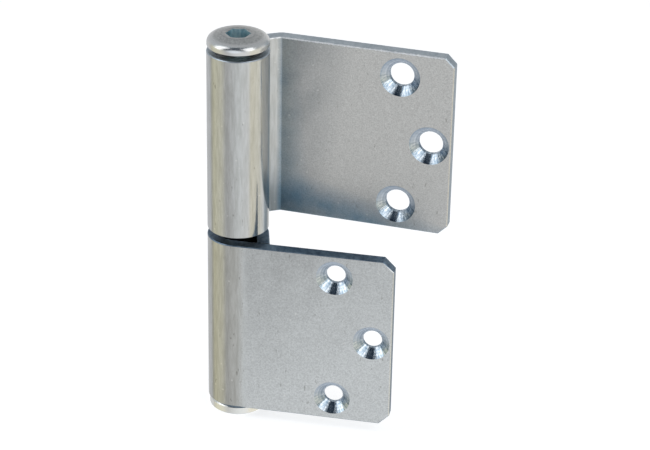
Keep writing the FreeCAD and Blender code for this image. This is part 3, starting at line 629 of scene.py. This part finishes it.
def light_tent():
    """White to the camera. In the metal it is a light tent: pale walls and floor, a dark gap overhead."""
    world = bpy.data.worlds.new("light_tent")
    bpy.context.scene.world = world
    tree = empty_tree(world)
    direction = add_node(tree, "ShaderNodeTexCoord").outputs["Generated"]
    parts = add_node(tree, "ShaderNodeSeparateXYZ", {0: direction}).outputs
    ahead = add_node(tree, "ShaderNodeMath", {0: parts["Y"], 1: -1.0}, operation="MULTIPLY")
    turn = add_node(tree, "ShaderNodeMath", {0: parts["X"], 1: ahead}, operation="ARCTAN2")
    around = add_node(tree, "ShaderNodeMapRange",
                      {"Value": turn, "From Min": -math.pi, "From Max": math.pi})
    walls, roof = (add_node(tree, "ShaderNodeValToRGB", {"Fac": around},
                            [((azimuth + 180) / 360, colour) for azimuth, colour in stops])
                   for stops in (TENT_WALLS, TENT_ROOF))

    start, end = (math.sin(math.radians(elevation)) for elevation in WALLS_TO_ROOF)
    up = add_node(tree, "ShaderNodeMapRange", {"Value": parts["Z"], "From Min": start, "From Max": end},
                  interpolation_type="SMOOTHSTEP")
    roofed = add_node(tree, "ShaderNodeMix", {0: up, 1: walls, 2: roof}, data_type="RGBA")
    start, end = (math.sin(math.radians(elevation)) for elevation in WALLS_TO_FLOOR)
    down = add_node(tree, "ShaderNodeMapRange", {"Value": parts["Z"], "From Min": start, "From Max": end},
                    interpolation_type="SMOOTHSTEP")
    floored = add_node(tree, "ShaderNodeMix", {0: down, 1: roofed, 2: linear(TENT_FLOOR)},
                       data_type="RGBA")

    near = add_node(tree, "ShaderNodeVectorMath", {0: direction, 1: toward(*BRIGHT_WALL_PLACE)},
                    operation="DOT_PRODUCT")
    start, end = (math.cos(math.radians(reach)) for reach in BRIGHT_WALL_REACH)
    front = add_node(tree, "ShaderNodeMapRange", {"Value": near, "From Min": start, "From Max": end},
                     interpolation_type="SMOOTHSTEP")
    bright = [value * BRIGHT_WALL_GAIN for value in linear(BRIGHT_WALL)[:3]] + [1.0]
    lit = add_node(tree, "ShaderNodeMix", {0: front, 1: floored, 2: bright}, data_type="RGBA")

    tent = add_node(tree, "ShaderNodeBackground", {"Color": lit, "Strength": 1.0})
    white = add_node(tree, "ShaderNodeBackground", {"Color": linear("#FFFFFF"), "Strength": 1.0})
    ray = add_node(tree, "ShaderNodeLightPath").outputs
    seen = add_node(tree, "ShaderNodeMixShader", {0: ray["Is Camera Ray"], 1: tent, 2: white})
    add_node(tree, "ShaderNodeOutputWorld", {"Surface": seen})


def soft_box(name, azimuth, elevation, width, height, radiance):
    """A soft box that faces the hinge. Its width and height are the angles it fills, in degrees."""
    lamp = bpy.data.lights.new(name, "AREA")
    lamp.shape = "RECTANGLE"
    lamp.size = 2 * LAMP_DISTANCE * math.tan(math.radians(width / 2))
    lamp.size_y = 2 * LAMP_DISTANCE * math.tan(math.radians(height / 2))
    lamp.energy = radiance * math.pi * lamp.size * lamp.size_y
    holder = bpy.data.objects.new(name, lamp)
    away = toward(azimuth, elevation)
    holder.location = CAMERA_TARGET + away * LAMP_DISTANCE
    holder.rotation_euler = away.to_track_quat("Z", "Y").to_euler()
    bpy.context.scene.collection.objects.link(holder)


def photo_camera():
    """The camera where the photograph was taken from."""
    pitch, turn, roll = (math.radians(angle) for angle in (CAMERA_PITCH, CAMERA_TURN, CAMERA_ROLL))
    forward = Vector((math.sin(turn) * math.cos(pitch), math.cos(turn) * math.cos(pitch),
                      -math.sin(pitch)))
    level = Vector((math.cos(turn), -math.sin(turn), 0))
    upward = level.cross(forward)
    right = level * math.cos(roll) + upward * math.sin(roll)
    top = upward * math.cos(roll) - level * math.sin(roll)
    data = bpy.data.cameras.new("camera")
    data.lens = LENS_MM
    data.sensor_width = SENSOR_MM
    data.clip_start = CAMERA_NEAR
    camera = bpy.data.objects.new("camera", data)
    turned = Matrix((right, top, -forward)).transposed().to_4x4()
    camera.matrix_world = Matrix.Translation(CAMERA_TARGET - forward * CAMERA_DISTANCE) @ turned
    bpy.context.scene.collection.objects.link(camera)
    bpy.context.scene.camera = camera


# The lower leaf is duller at its upper left. On the upper leaf the patches are painted shade, dull
# toward the web and blue along the bottom edge, and a painted reflection, blue next to the web.
sheet_finish = zinc_sheet(
    "blue_passivated_zinc_sheet", "#E1E4E4", "#C2C3C0",
    [TonePatch((0.5, 0, -0.85), full=-37 * MM, faded=12 * MM, strength=1.0, colour="#BDBFBF")],
    pressed_out=11.5 * MM)
# Painted shade: the upper leaf's sheet is a darker copy of the lower leaf's sheet.
shaded_cranked_finish = zinc_sheet(
    "blue_passivated_zinc_cranked_sheet", "#D7D7D5", "#C6C8C8",
    [TonePatch((1, 0, -0.15), full=-34 * MM, faded=-12 * MM, strength=1.0, colour="#93989B"),
     TonePatch((1, 0, 0.1), full=-19 * MM, faded=-8 * MM, strength=0.7, colour="#88A6BA"),
     TonePatch((0.25, 0, 1), full=35 * MM, faded=44 * MM, strength=1.0, colour="#86A4B9")],
    pressed_out=17 * MM)
edge_finish = sheared_zinc("blue_passivated_zinc_sheared", "#A0ABB3", "#C2CAD0")
# Painted shade: a darker copy of the edge finish, for the lower leaf's edges that lie in shade under the
# upper leaf
shaded_edge_finish = sheared_zinc("blue_passivated_zinc_sheared_dark", "#56687A", "#8799A8")
# Painted highlight: the burr is real, but its near-white colour is a painted glint along the top front edge
highlight_burr_finish = sheared_zinc("blue_passivated_zinc_burr", "#D9DDE0", "#FFFFFF")
head_finish = turned_zinc("blue_passivated_zinc_turned", "#9E9F9E", "#C8C9C7", "#D2D3D2")
plug_finish = turned_zinc("blue_passivated_zinc_pressed_plug", "#B7B8B4", "#E4E4E0", "#EAEAE6")
recess_finish = deep_passivation("blue_passivated_zinc_recess")
steel_finish = ground_steel("hardened_ground_steel")
bronze_finish = sintered_bronze("sintered_bearing_bronze")

# The lower leaf's sheared edges take the painted-shade copy of the edge finish
finish_leaf(nodes["lower_leaf"], LOWER, sheet_finish, shaded_edge_finish, ("#8FA0AE", "#E8EDF1", 0.28))
# Painted shade: the upper leaf's countersinks take darker tones than the lower leaf's
finish_leaf(nodes["upper_leaf"], UPPER, shaded_cranked_finish, edge_finish, ("#8495A4", "#E6ECF1", 0.3))
paint(nodes["bottom_plug"], plug_finish)
paint(nodes["height_screw"], head_finish)
for name in ("hinge_pin", "threaded_bush", "thrust_ball"):
    paint(nodes[name], steel_finish)
for name in ("lower_sleeve", "upper_sleeve"):
    paint(nodes[name], bronze_finish)

screw = threaded_screw()
paint(screw, head_finish)
paint(screw, recess_finish, in_recess)
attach(screw, "height_screw")
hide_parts("height_screw")

# Burrs lie in the small bevel of each leaf's top front edge
upper_top = UPPER.foot + UPPER.height - UPPER_BURR_DROP
upper_corners = (WEB_START, WEB_END, (UPPER.reach - UPPER.corner_cut, WEB_END[1]))
upper_burr = torn_ridge("upper_leaf_burr",
                        [UPPER.place(out, depth, upper_top) for out, depth in upper_corners],
                        UPPER_BURR_RADIUS, seed=4)
lower_top = LOWER.foot + LOWER.height - EDGE_BEVEL / 2
lower_front = LOWER.front + EDGE_BEVEL / 2
lower_corners = (0, LOWER.reach - LOWER.corner_cut)
lower_burr = torn_ridge("lower_leaf_burr",
                        [LOWER.place(out, lower_front, lower_top) for out in lower_corners],
                        LOWER_BURR_RADIUS, seed=9)
# The lower burr takes the painted-shade edge finish, and the upper burr the painted highlight
for burr, body, finish in ((upper_burr, "upper_leaf", highlight_burr_finish),
                           (lower_burr, "lower_leaf", shaded_edge_finish)):
    paint(burr, finish)
    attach(burr, body)

pale_floor()
light_tent()
soft_box("left_soft_box", azimuth=-66, elevation=38, width=26, height=56, radiance=1.7)
soft_box("right_soft_box", azimuth=57, elevation=40, width=32, height=50, radiance=1.6)
photo_camera()
bpy.context.scene.view_settings.view_transform = "Standard"
